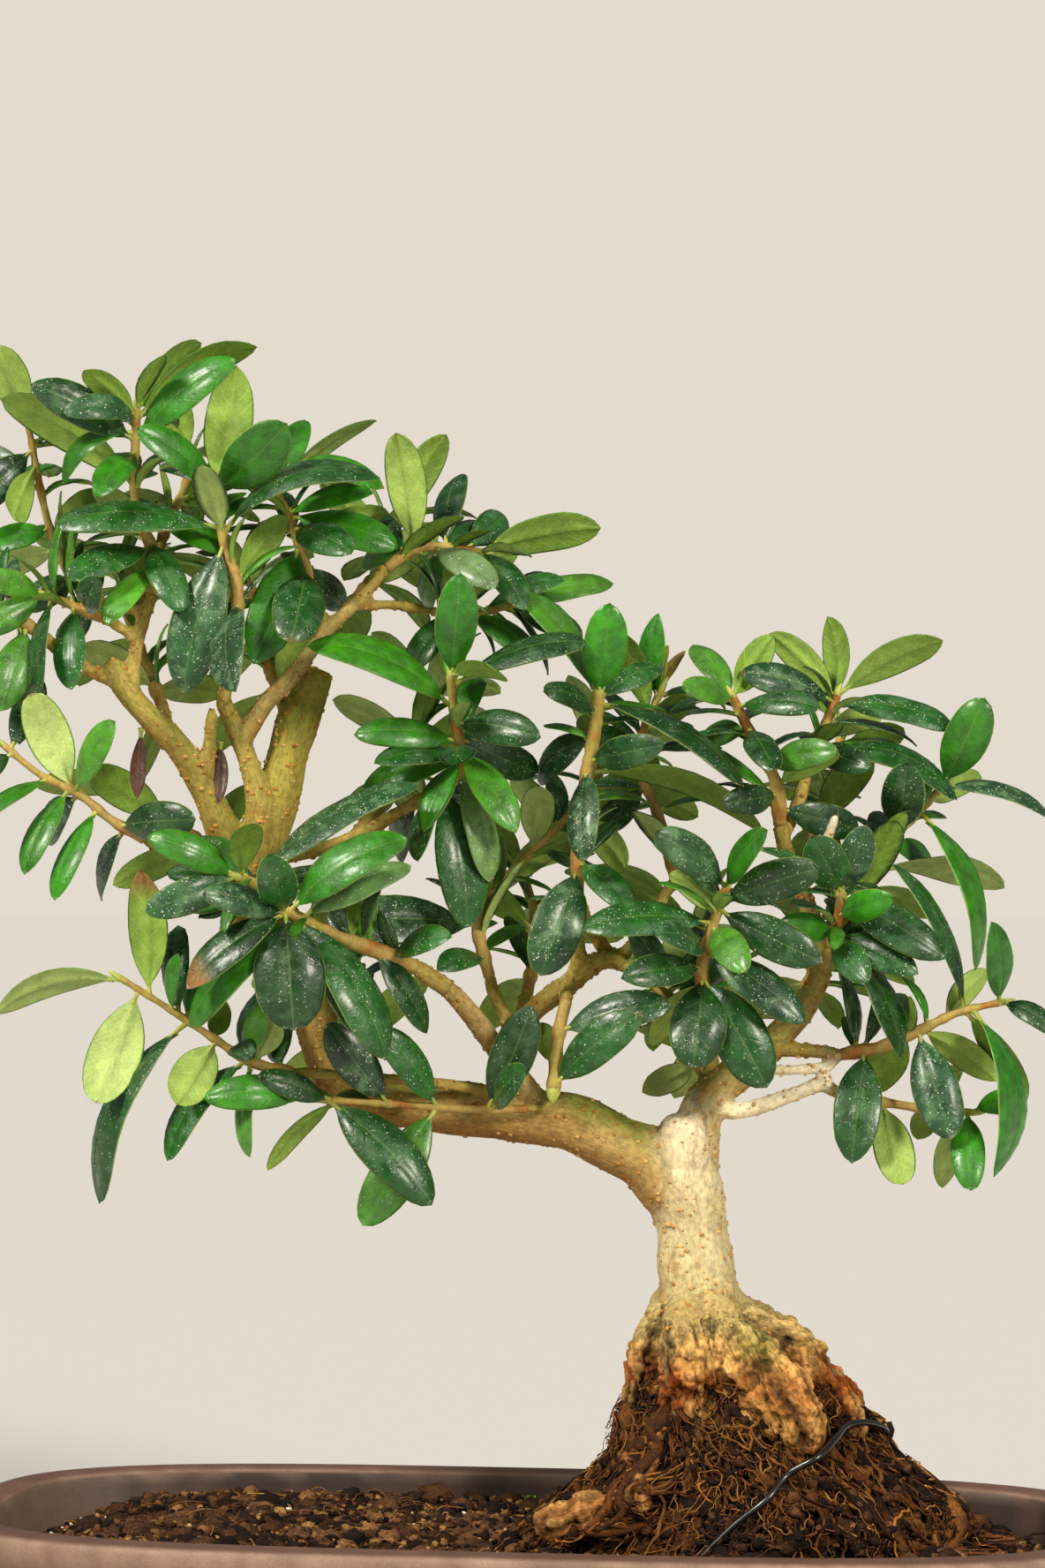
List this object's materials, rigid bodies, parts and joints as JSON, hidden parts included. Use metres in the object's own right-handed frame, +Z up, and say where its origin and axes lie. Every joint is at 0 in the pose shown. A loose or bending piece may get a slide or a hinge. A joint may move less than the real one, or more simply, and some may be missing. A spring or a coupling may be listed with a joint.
{
  "type": "olive bonsai",
  "caption": "Olive tree grown as a bonsai, with a spreading root mound and leathery leaves, standing in soil in a long brown clay tray.",
  "frame": {"origin": "centre of the tray's flat underside", "axes": "+Z up, +X along the tray toward the side where the trunk stands, -Y toward the side that the picture shows"},
  "size_m": [0.242, 0.1268, 0.2873],
  "materials": {
    "tray_clay": "matte unglazed brown clay, lighter where the rim is worn",
    "screen": "black plastic mesh",
    "soil": "loose dark crumbs with fibres and pale grains",
    "bark": "matte tan bark with rust-brown pores, roots rusty brown",
    "wire": "glossy black coat",
    "olive_leaf": "waxy dark green above, matte pale green below"
  },
  "bodies": {
    "root": {"tray": "tray_clay", "drain_screen_left": "screen", "drain_screen_right": "screen", "soil": "soil", "tree": "bark", "tie_wire": "wire", "shoot_left_top": "olive_leaf", "shoot_far_left": "olive_leaf", "shoot_left_side": "olive_leaf", "shoot_left_end": "olive_leaf", "shoot_left_low": "olive_leaf", "shoot_mid_stem": "olive_leaf", "shoot_upper": "olive_leaf", "shoot_light_branch": "olive_leaf", "shoot_inner_top": "olive_leaf", "shoot_rosette": "olive_leaf", "shoot_side_spray": "olive_leaf", "shoot_low_left": "olive_leaf", "shoot_low_front": "olive_leaf", "shoot_centre": "olive_leaf", "shoot_mid_twig": "olive_leaf", "shoot_inner_twig": "olive_leaf", "shoot_hanging_twig": "olive_leaf", "shoot_inner_end": "olive_leaf", "shoot_right_front": "olive_leaf", "shoot_fork": "olive_leaf", "shoot_right_stem": "olive_leaf", "shoot_right_crown": "olive_leaf", "shoot_right_side": "olive_leaf", "shoot_right_middle": "olive_leaf", "shoot_right_low": "olive_leaf", "shoot_right_under": "olive_leaf", "shoot_bud_stem": "olive_leaf", "shoot_back_left": "olive_leaf", "shoot_back_top": "olive_leaf", "shoot_back_stem": "olive_leaf", "shoot_back_upper": "olive_leaf", "shoot_back_knee": "olive_leaf", "shoot_back_limb": "olive_leaf", "shoot_back_centre": "olive_leaf", "shoot_back_inner": "olive_leaf", "shoot_back_twig": "olive_leaf", "shoot_back_right": "olive_leaf", "shoot_back_crown": "olive_leaf", "shoot_back_fork": "olive_leaf"}
  },
  "joints": []
}
